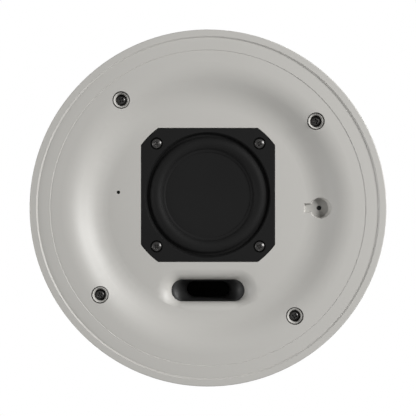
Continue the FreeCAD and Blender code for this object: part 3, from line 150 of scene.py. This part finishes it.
MATERIALS = {
    "baffle_plastic": surface("baffle_plastic", (0.50, 0.49, 0.465), (0.485, 0.475, 0.45), (0.42, 0.52), 3200,
                              0.003, edge=0.0),
    "can_plastic": surface("can_plastic", (0.017, 0.017, 0.018), (0.011, 0.011, 0.012), (0.5, 0.64),
                           1500, 0.02, edge=0.3, wear=0.3, worn=(0.045, 0.045, 0.045), level=0.25),
    "frame_metal": surface("frame_metal", (0.0105, 0.0105, 0.0105), (0.008, 0.008, 0.008), (0.42, 0.55),
                           3000, 0.006, edge=0.15, wear=0.2, worn=(0.025, 0.025, 0.025), level=0.08),
    "surround_rubber": surface("surround_rubber", (0.009, 0.009, 0.009), (0.0065, 0.0065, 0.0065), (0.6, 0.7),
                               2500, 0.003, edge=0.1, level=0.1),
    "diaphragm_aluminium": surface("diaphragm_aluminium", (0.0105, 0.0105, 0.0105), (0.0085, 0.0085, 0.0085),
                                   (0.45, 0.55), 4000, 0.002, edge=0.1, level=0.08),
    "former_paper": surface("former_paper", (0.55, 0.30, 0.10), (0.45, 0.22, 0.07), (0.5, 0.65), 1500, 0.01),
    "copper_wire": surface("copper_wire", (0.70, 0.28, 0.12), (0.55, 0.18, 0.07), (0.3, 0.45), 1800, 0.02,
                           metallic=1.0, stretch=(1, 1, 6)),
    "spider_cloth": surface("spider_cloth", (0.62, 0.38, 0.08), (0.50, 0.28, 0.05), (0.7, 0.85), 1600, 0.05),
    "zinc_steel": surface("zinc_steel", (0.52, 0.51, 0.48), (0.42, 0.42, 0.40), (0.3, 0.45), 1200, 0.01,
                          metallic=1.0, wear=0.3, worn=(0.7, 0.7, 0.68)),
    "ferrite": surface("ferrite", (0.025, 0.025, 0.027), (0.016, 0.016, 0.018), (0.6, 0.75), 1800, 0.04,
                       wear=0.4, worn=(0.07, 0.07, 0.07)),
    "terminal_board": surface("terminal_board", (0.28, 0.18, 0.07), (0.22, 0.13, 0.05), (0.5, 0.6), 1500,
                              0.01),
    "foam": surface("foam", (0.012, 0.012, 0.012), (0.005, 0.005, 0.005), (0.85, 0.95), 1400, 0.25, edge=0.3),
    "boot_rubber": surface("boot_rubber", (0.012, 0.012, 0.012), (0.008, 0.008, 0.008), (0.6, 0.7), 2000,
                           0.01),
    "screw_black": surface("screw_black", (0.052, 0.051, 0.050), (0.036, 0.035, 0.034), (0.22, 0.34), 2600,
                           0.004, metallic=1.0, edge=0.12, wear=0.3, worn=(0.2, 0.2, 0.19)),
    "duct_plastic": surface("duct_plastic", (0.011, 0.011, 0.011), (0.008, 0.008, 0.008), (0.46, 0.54), 1200,
                            0.002, edge=0.2, level=0.35),
    "spring_steel": surface("spring_steel", (0.28, 0.27, 0.25), (0.2, 0.2, 0.19), (0.3, 0.4), 2000, 0.004,
                            metallic=1.0),
    "insert_brass": surface("insert_brass", (0.72, 0.45, 0.16), (0.6, 0.36, 0.12), (0.25, 0.36), 1500, 0.01,
                            metallic=1.0, stretch=(1, 1, 8)),
    "dog_plastic": surface("dog_plastic", (0.022, 0.022, 0.023), (0.014, 0.014, 0.015), (0.45, 0.6), 1300,
                           0.03, edge=0.4, wear=0.45, worn=(0.07, 0.07, 0.07)),
    "circuit_board": surface("circuit_board", (0.012, 0.085, 0.035), (0.008, 0.06, 0.025), (0.25, 0.35), 900,
                             0.005, edge=0.05),
    "chip_black": surface("chip_black", (0.015, 0.015, 0.016), (0.010, 0.010, 0.011), (0.45, 0.55), 3000,
                          0.008),
    # Near-black plunger: its own dark plastic, darkened further as painted shade so the pinhole in front of
    # it reads black.
    "plunger_plastic": surface("plunger_plastic", (0.004, 0.004, 0.004), (0.003, 0.003, 0.003), (0.5, 0.6),
                               2500, 0.004, level=0.2),
    "jack_plastic": surface("jack_plastic", (0.015, 0.015, 0.016), (0.010, 0.010, 0.011), (0.35, 0.48), 2000,
                            0.008, wear=0.3, worn=(0.05, 0.05, 0.05)),
    "capacitor_sleeve": surface("capacitor_sleeve", (0.012, 0.012, 0.02), (0.008, 0.008, 0.015), (0.2, 0.3),
                                800, 0.005, edge=0.4),
    "sink_aluminium": surface("sink_aluminium", (0.62, 0.63, 0.65), (0.54, 0.55, 0.57), (0.3, 0.45), 900,
                              0.01, metallic=1.0, stretch=(0.1, 1, 1), wear=0.3, worn=(0.8, 0.8, 0.8)),
}
MATERIALS["clamp_screw_steel"] = MATERIALS["screw_black"]

SLOT_OF = {part["node"]: part["material_slot"] for part in frame["record"]["subparts"]}
BODY_OF = {node: body for body, held in frame["record"]["behaviour"]["bodies"].items() for node in held}


def dress_cad_nodes():
    for name, node in nodes.items():
        node.data.materials.clear()
        node.data.materials.append(MATERIALS[SLOT_OF[name]])


# Mesh helpers

def piece(name, vertices, faces, body, slot, replaced=(), crease=40):
    """A piece from vertices in millimetres. It rides on its body, if given, and may stand for CAD nodes."""
    mesh = bpy.data.meshes.new(name)
    mesh.from_pydata([Vector(v) * MM for v in vertices], [], faces)
    mesh.validate()
    item = bpy.data.objects.new(name, mesh)
    bpy.context.scene.collection.objects.link(item)
    join_close_points(mesh)
    mesh.shade_smooth()
    mesh.set_sharp_from_angle(angle=math.radians(crease))
    mesh.materials.append(MATERIALS[slot])
    if replaced:
        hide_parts(*replaced)
    if body:
        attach(item, body)
    return item


def join_close_points(mesh):
    work = bmesh.new()
    work.from_mesh(mesh)
    bmesh.ops.remove_doubles(work, verts=work.verts, dist=1e-7)
    bmesh.ops.recalc_face_normals(work, faces=work.faces)
    work.to_mesh(mesh)
    work.free()


def arc(start, middle, finish, steps):
    """Points of the circle through three (radius, height) points, from start to finish."""
    (ax, ay), (bx, by), (cx, cy) = start, middle, finish
    d = 2 * (ax * (by - cy) + bx * (cy - ay) + cx * (ay - by))
    ux = ((ax * ax + ay * ay) * (by - cy) + (bx * bx + by * by) * (cy - ay)
          + (cx * cx + cy * cy) * (ay - by)) / d
    uy = ((ax * ax + ay * ay) * (cx - bx) + (bx * bx + by * by) * (ax - cx)
          + (cx * cx + cy * cy) * (bx - ax)) / d
    radius = math.hypot(ax - ux, ay - uy)
    first, mid, last = (math.atan2(y - uy, x - ux) for x, y in (start, middle, finish))
    sweep = (last - first) % (2 * math.pi)
    if (mid - first) % (2 * math.pi) > sweep:
        sweep -= 2 * math.pi
    return [(ux + radius * math.cos(first + sweep * step / steps),
             uy + radius * math.sin(first + sweep * step / steps)) for step in range(steps + 1)]


def closed_loops(segments, count):
    """Faces between the neighbouring copies of a closed profile of count points."""
    faces = []
    for step in range(segments):
        onward = (step + 1) % segments
        for index in range(count):
            after = (index + 1) % count
            faces.append((step * count + index, onward * count + index,
                          onward * count + after, step * count + after))
    return faces


def lathe(profile, centre, level, segments):
    """Vertices and faces of a closed (radius, height) profile turned about Z."""
    vertices = []
    for step in range(segments):
        angle = 2 * math.pi * step / segments
        for radius, height in profile:
            vertices.append((centre[0] + radius * math.cos(angle), centre[1] + radius * math.sin(angle),
                             level + height))
    return vertices, closed_loops(segments, len(profile))


def clamp_centre(number):
    """Where the axis of a clamp's screw is, with the number from 0."""
    angle = math.radians(CLAMP_ANGLE + 90 * number)
    return CLAMP_DISTANCE * math.cos(angle), CLAMP_DISTANCE * math.sin(angle)


# The surround: a half roll whose inner foot follows the disc while the outer one stays on the frame

def surround():
    roll, half, rise, wall, back_rise = 26.4, 3.2, 2.05, 0.5, 2.4
    inner, outer, outer_front = 21.7, 30.9, 2.12
    foot_front, front, back = 1.55, 1.9, 2.4
    profile = [(inner, front), (inner + 0.02, foot_front + 0.1), (inner + 0.12, foot_front)]
    profile += arc((roll - half, foot_front), (roll, foot_front - rise), (roll + half, foot_front), 28)
    profile += [(roll + half + 0.08, foot_front + 0.3), (outer - 0.9, outer_front),
                (outer - 0.1, outer_front), (outer, outer_front + 0.08), (outer, back)]
    profile += arc((roll + half - wall, back), (roll, back - back_rise), (roll - half + wall, back), 24)
    profile += [(roll - half, back), (roll - half, front)]
    vertices, faces = lathe(profile, (0, DRIVER_Y), FLOOR_FRONT, 160)
    item = piece("surround_roll", vertices, faces, None, "surround_rubber", ["surround"], crease=50)
    level = FLOOR_FRONT * MM
    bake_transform(item, "speaker_body", "cone", start=(0.03, 0, level), end=(0.022, 0, level))
    follow = item.data.attributes["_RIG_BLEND"]
    for point, value in zip(item.data.vertices, follow.data):
        out = math.hypot(point.co.x, point.co.y - DRIVER_Y * MM) / MM
        share = min(1.0, max(0.0, (roll + half - out) / (2 * half)))
        value.value = share * share * (3 - 2 * share)


# Smooth skins for the moulded and pressed pieces whose solids come as flat triangles

def skin(node_name, change=None):
    """The node's own shape, moved by change if it is given, shaded smooth up to SKIN_CREASE by area."""
    node = nodes[node_name]
    vertices = [node.matrix_world @ point.co / MM for point in node.data.vertices]
    if change:
        vertices = [change(point) for point in vertices]
    faces = [tuple(face.vertices) for face in node.data.polygons]
    item = piece(node_name + "_skin", vertices, faces, BODY_OF[node_name], SLOT_OF[node_name], [node_name],
                 crease=180)
    mesh = item.data
    around = [[] for _ in mesh.vertices]
    for face in mesh.polygons:
        for index in face.vertices:
            around[index].append((face.normal.copy(), face.area))
    limit = math.cos(math.radians(SKIN_CREASE))
    normals = []
    for face in mesh.polygons:
        for index in face.vertices:
            total = Vector((0, 0, 0))
            for normal, area in around[index]:
                if normal.dot(face.normal) > limit:
                    total += normal * area
            normals.append(total.normalized())
    mesh.normals_split_custom_set(normals)


def lift_pocket_floor(point):
    """The photograph shows the clamp screws' heads close under the surface."""
    tolerance = 0.02
    if abs(point.z - POCKET_SEAT) < tolerance:
        for number in range(4):
            x, y = clamp_centre(number)
            if math.hypot(point.x - x, point.y - y) < POCKET_REACH:
                return Vector((point.x, point.y, HEAD_SEAT))
    return point


def skins():
    skin("front_baffle", change=lift_pocket_floor)
    for node_name in ["driver_frame", "diaphragm", "rear_can", "ceiling_gasket", "yoke", "magnet"]:
        skin(node_name)
    for number in range(1, 5):
        skin("clamp_dog_%d" % number)


def duct():
    """The port's duct: a rounded mouth, a straight run and a flared end, all of round-ended section."""
    mouth_length, mouth_height = 37.5, 11.25
    throat_length, throat_height = 22.0, 8.3
    end_length, end_height = 33.0, 16.0
    mouth_depth, straight, depth = 16.0, 22.0, 48.0
    wall, flange, flange_reach = 1.6, 2.0, 8.0
    inner = []
    steps = 24
    for step in range(steps + 1):
        turn = math.pi / 2 * step / steps
        inner.append((mouth_length + (throat_length - mouth_length) * math.sin(turn),
                      mouth_height + (throat_height - mouth_height) * math.sin(turn),
                      mouth_depth * (1 - math.cos(turn))))
    for step in range(steps + 1):
        turn = math.pi / 2 * step / steps
        inner.append((throat_length + (end_length - throat_length) * (1 - math.cos(turn)),
                      throat_height + (end_height - throat_height) * (1 - math.cos(turn)),
                      straight + (depth - straight) * step / steps))
    outer = [(length + 2 * wall, height + 2 * wall, level) for length, height, level in reversed(inner)
             if level > flange]
    flange_length, flange_height = mouth_length + flange_reach, mouth_height + flange_reach
    profile = inner + outer + [(outer[-1][0], outer[-1][1], flange), (flange_length, flange_height, flange),
                               (flange_length, flange_height, 0.0)]
    segments = 96
    vertices = []
    for step in range(segments):
        angle = 2 * math.pi * (step + 0.5) / segments
        for length, height, level in profile:
            reach = (length - height) / 2 * (1 if math.cos(angle) > 0 else -1)
            vertices.append((reach + height / 2 * math.cos(angle), PORT_Y + height / 2 * math.sin(angle),
                             PORT_BOSS_BACK + level))
    faces = closed_loops(segments, len(profile))
    piece("port_duct_smooth", vertices, faces, "speaker_body", "duct_plastic", ["port_duct"], crease=35)


def pocket_cups():
    """The pale funnel round each clamp screw's head, with a narrow gap to the pocket's wall."""
    outside, throat = 3.9, 2.86
    profile = [(outside, HEAD_SEAT), (outside, -2.45), (3.86, -2.58), (3.78, -2.64), (3.68, -2.6),
               (3.42, -2.28), (3.15, -1.75), (2.95, -1.1), (2.88, -0.5), (throat, HEAD_SEAT)]
    shapes = [lathe(profile, clamp_centre(number), 0.0, 72) for number in range(4)]
    piece("clamp_cup_set", *together(*shapes), "speaker_body", "baffle_plastic", crease=35)


# Screws: a domed head with a cross recess, and a shank with a thread

def screw_head(radius, height, dome, cross_length, cross_width, cross_depth, rings=36, segments=96):
    """Head whose crown points to -Z and whose seat is at z = 0."""
    cross_slope, chamfer = 0.16, 0.12
    bend = (radius * radius + dome * dome) / (2 * dome)
    vertices = []
    faces = []
    for ring in range(rings + 1):
        out = radius * ring / rings
        for step in range(segments):
            angle = 2 * math.pi * step / segments
            x, y = out * math.cos(angle), out * math.sin(angle)
            crown = -height + bend - math.sqrt(bend * bend - out * out)
            long_way, short_way = max(abs(x), abs(y)), min(abs(x), abs(y))
            taper = min(1.0, max(0.0, (cross_width / 2 - short_way) / cross_slope + 0.5))
            ramp = min(1.0, max(0.0, (cross_length / 2 - long_way) / (0.35 * cross_length) + 0.25))
            vertices.append((x, y, crown + cross_depth * taper * ramp))
    for ring in range(rings):
        for step in range(segments):
            onward = (step + 1) % segments
            faces.append((ring * segments + step, (ring + 1) * segments + step,
                          (ring + 1) * segments + onward, ring * segments + onward))
    start = rings * segments
    for out, level in [(radius, -chamfer), (radius - chamfer, 0.0), (0.0, 0.0)]:
        base = len(vertices)
        for step in range(segments):
            angle = 2 * math.pi * step / segments
            vertices.append((out * math.cos(angle), out * math.sin(angle), level))
        for step in range(segments):
            onward = (step + 1) % segments
            faces.append((start + step, base + step, base + onward, start + onward))
        start = base
    return vertices, faces


def thread(core, crest, length, pitch, plain=1.0, point=1.0, segments=32, per_turn=8):
    """Shank along +Z from the seat, with a V thread after a plain length and a blunt point."""
    ridge_share, blunt = 0.32, 0.4
    levels = int(length / pitch * per_turn)
    vertices = []
    faces = []
    for level in range(levels + 1):
        height = length * level / levels
        fade = min(1.0, max(0.0, (height - plain) / pitch))
        tip = min(1.0, (length - height) / point * (1 - blunt) + blunt) if height > length - point else 1.0
        for step in range(segments):
            phase = (height / pitch - step / segments) % 1.0
            ridge = max(0.0, 1 - abs(phase - 0.5) / ridge_share)
            out = (core + (crest - core) * ridge * fade) * tip
            angle = 2 * math.pi * step / segments
            vertices.append((out * math.cos(angle), out * math.sin(angle), height))
    for level in range(levels):
        for step in range(segments):
            onward = (step + 1) % segments
            faces.append((level * segments + step, level * segments + onward,
                          (level + 1) * segments + onward, (level + 1) * segments + step))
    faces.append(tuple(range(levels * segments, (levels + 1) * segments)))
    return vertices, faces


def placed(shape, x, y, z, turn=0.0, flip=False):
    """The shape moved to its place, after a turn about Z and, where flip is set, upside down."""
    vertices, faces = shape
    c, s = math.cos(math.radians(turn)), math.sin(math.radians(turn))
    moved = []
    for px, py, pz in vertices:
        if flip:
            py, pz = -py, -pz
        moved.append((x + px * c - py * s, y + px * s + py * c, z + pz))
    return moved, faces


def together(*shapes):
    vertices = []
    faces = []
    for more_vertices, more_faces in shapes:
        base = len(vertices)
        vertices += more_vertices
        faces += [tuple(index + base for index in face) for face in more_faces]
    return vertices, faces


def screws():
    shank = thread(1.2, 1.5, 9.0, 1.0)
    driver_screw = together(screw_head(2.55, 1.9, 0.8, 2.7, 0.62, 1.0), shank)
    shapes = []
    for number, (side_x, side_y) in enumerate(((1, 1), (-1, 1), (-1, -1), (1, -1))):
        shapes.append(placed(driver_screw, DRIVER_SCREW_REACH * side_x,
                             DRIVER_Y + DRIVER_SCREW_REACH * side_y,
                             FLOOR_FRONT + DRIVER_SCREW_SEAT, turn=17 + 31 * number))
    piece("driver_screw_set", *together(*shapes), "speaker_body", "screw_black", ["driver_screws"])

    can_screw = together(screw_head(2.75, 1.9, 0.8, 2.7, 0.62, 1.0), shank)
    shapes = []
    for number in range(4):
        angle = math.radians(CLAMP_ANGLE + 45 + 90 * number)
        shapes.append(placed(can_screw, CAN_SCREW_DISTANCE * math.cos(angle),
                             CAN_SCREW_DISTANCE * math.sin(angle), CAN_SCREW_SEAT,
                             turn=40 * number, flip=True))
    piece("can_screw_set", *together(*shapes), "speaker_body", "screw_black", ["can_screws"])

    clamp_length = 45.0 + POCKET_SEAT - HEAD_SEAT
    clamp_screw = together(screw_head(2.7, 2.4, 1.15, 2.5, 0.62, 1.2),
                           thread(1.55, 2.0, clamp_length, 2.0, plain=11.3))
    for number, turn in enumerate((12, 63, 35, 80)):
        name = "clamp_screw_%d" % (number + 1)
        shape = placed(clamp_screw, *clamp_centre(number), HEAD_SEAT, turn=turn)
        piece(name + "_threaded", *shape, name, "clamp_screw_steel", [name])


# Studio

def lamp(name, place, power, size, size_y=None):
    """A lamp that aims at the origin, square unless size_y is given."""
    light = bpy.data.lights.new(name, "AREA")
    light.energy = power
    light.size = size
    if size_y:
        light.shape = "RECTANGLE"
        light.size_y = size_y
    item = bpy.data.objects.new(name, light)
    bpy.context.scene.collection.objects.link(item)
    item.location = place
    item.rotation_mode = "QUATERNION"
    item.rotation_quaternion = (-Vector(place)).to_track_quat("-Z", "Y")


def camera():
    """Straight up from the room, the photograph's top towards -Y. The rim fills 357 of 416 pixels."""
    data = bpy.data.cameras.new("camera")
    data.sensor_width = 36.0
    data.lens = LENS
    data.clip_start = 0.01
    data.clip_end = 100.0
    item = bpy.data.objects.new("camera", data)
    bpy.context.scene.collection.objects.link(item)
    item.location = (0.0, 0.0, -CAMERA_DISTANCE)
    item.rotation_euler = (math.pi, 0, 0)
    bpy.context.scene.camera = item


def white_background():
    """White to the camera, in mirror reflections and through glass, and a dim even light on the object."""
    world = bpy.data.worlds.new("studio")
    world.use_nodes = True
    tree = world.node_tree
    tree.nodes.clear()
    path = add(tree, "LightPath")
    seen = add(tree, "Math", {0: path.outputs["Is Camera Ray"], 1: path.outputs["Is Glossy Ray"]},
               operation="MAXIMUM").outputs[0]
    seen = add(tree, "Math", {0: seen, 1: path.outputs["Is Transmission Ray"]},
               operation="MAXIMUM").outputs[0]
    dim = add(tree, "Background", {"Color": (1, 1, 1, 1), "Strength": AMBIENT})
    bright = add(tree, "Background", {"Color": (1, 1, 1, 1), "Strength": 1.0})
    mix = add(tree, "MixShader", {0: seen, 1: dim.outputs[0], 2: bright.outputs[0]})
    output = add(tree, "OutputWorld")
    tree.links.new(mix.outputs[0], output.inputs[0])
    bpy.context.scene.world = world
    bpy.context.scene.view_settings.view_transform = "Standard"


def stage():
    """Pale floor under the rim. It is clear from below, where the camera looks up at the speaker."""
    material = bpy.data.materials.new("stage_floor")
    material.use_nodes = True
    tree = material.node_tree
    tree.nodes.clear()
    place = add(tree, "TexCoord").outputs["Object"]
    reach = add(tree, "VectorMath", {0: place}, operation="LENGTH").outputs["Value"]
    fade = between(tree, reach, 0.25, 0.85)
    below = add(tree, "NewGeometry").outputs["Backfacing"]
    clear = add(tree, "Math", {0: fade, 1: below}, operation="MAXIMUM").outputs[0]
    paper = add(tree, "TexNoise", {"Vector": place, "Scale": 600.0}).outputs["Fac"]
    tone = blend_colours(tree, paper, (0.86, 0.86, 0.86, 1), (0.82, 0.82, 0.82, 1))
    matt = add(tree, "BsdfDiffuse", {"Color": tone})
    gone = add(tree, "BsdfTransparent")
    mix = add(tree, "MixShader", {0: clear, 1: matt.outputs[0], 2: gone.outputs[0]})
    output = add(tree, "OutputMaterial")
    tree.links.new(mix.outputs[0], output.inputs[0])
    mesh = bpy.data.meshes.new("floor")
    sides = 96
    ring = [(FLOOR_RADIUS * math.cos(2 * math.pi * step / sides),
             FLOOR_RADIUS * math.sin(2 * math.pi * step / sides), 0) for step in range(sides)]
    mesh.from_pydata(ring, [], [tuple(range(sides))])
    mesh.materials.append(material)
    floor = bpy.data.objects.new("floor", mesh)
    bpy.context.scene.collection.objects.link(floor)
    floor.location = (0, 0, FLOOR_LEVEL)
    floor.visible_shadow = False
    floor.visible_diffuse = False
    floor.visible_glossy = False


def lights():
    """Lamps with their places and sizes in metres and their power in watts."""
    lamp("key", (0.967, -0.355, -0.672), 19.0, 0.45)
    lamp("left", (-1.1, 0.10, -0.23), 9.2, 0.25, size_y=0.7)
    lamp("low", (0.0, 1.05, -0.38), 1.6, 0.5)
    lamp("above_right", (0.3, -0.2, 1.7), 17.0, 0.9)
    lamp("above_left", (-1.0, 0.6, 1.1), 16.0, 0.9)


dress_cad_nodes()
skins()
duct()
pocket_cups()
surround()
screws()
camera()
white_background()
stage()
lights()
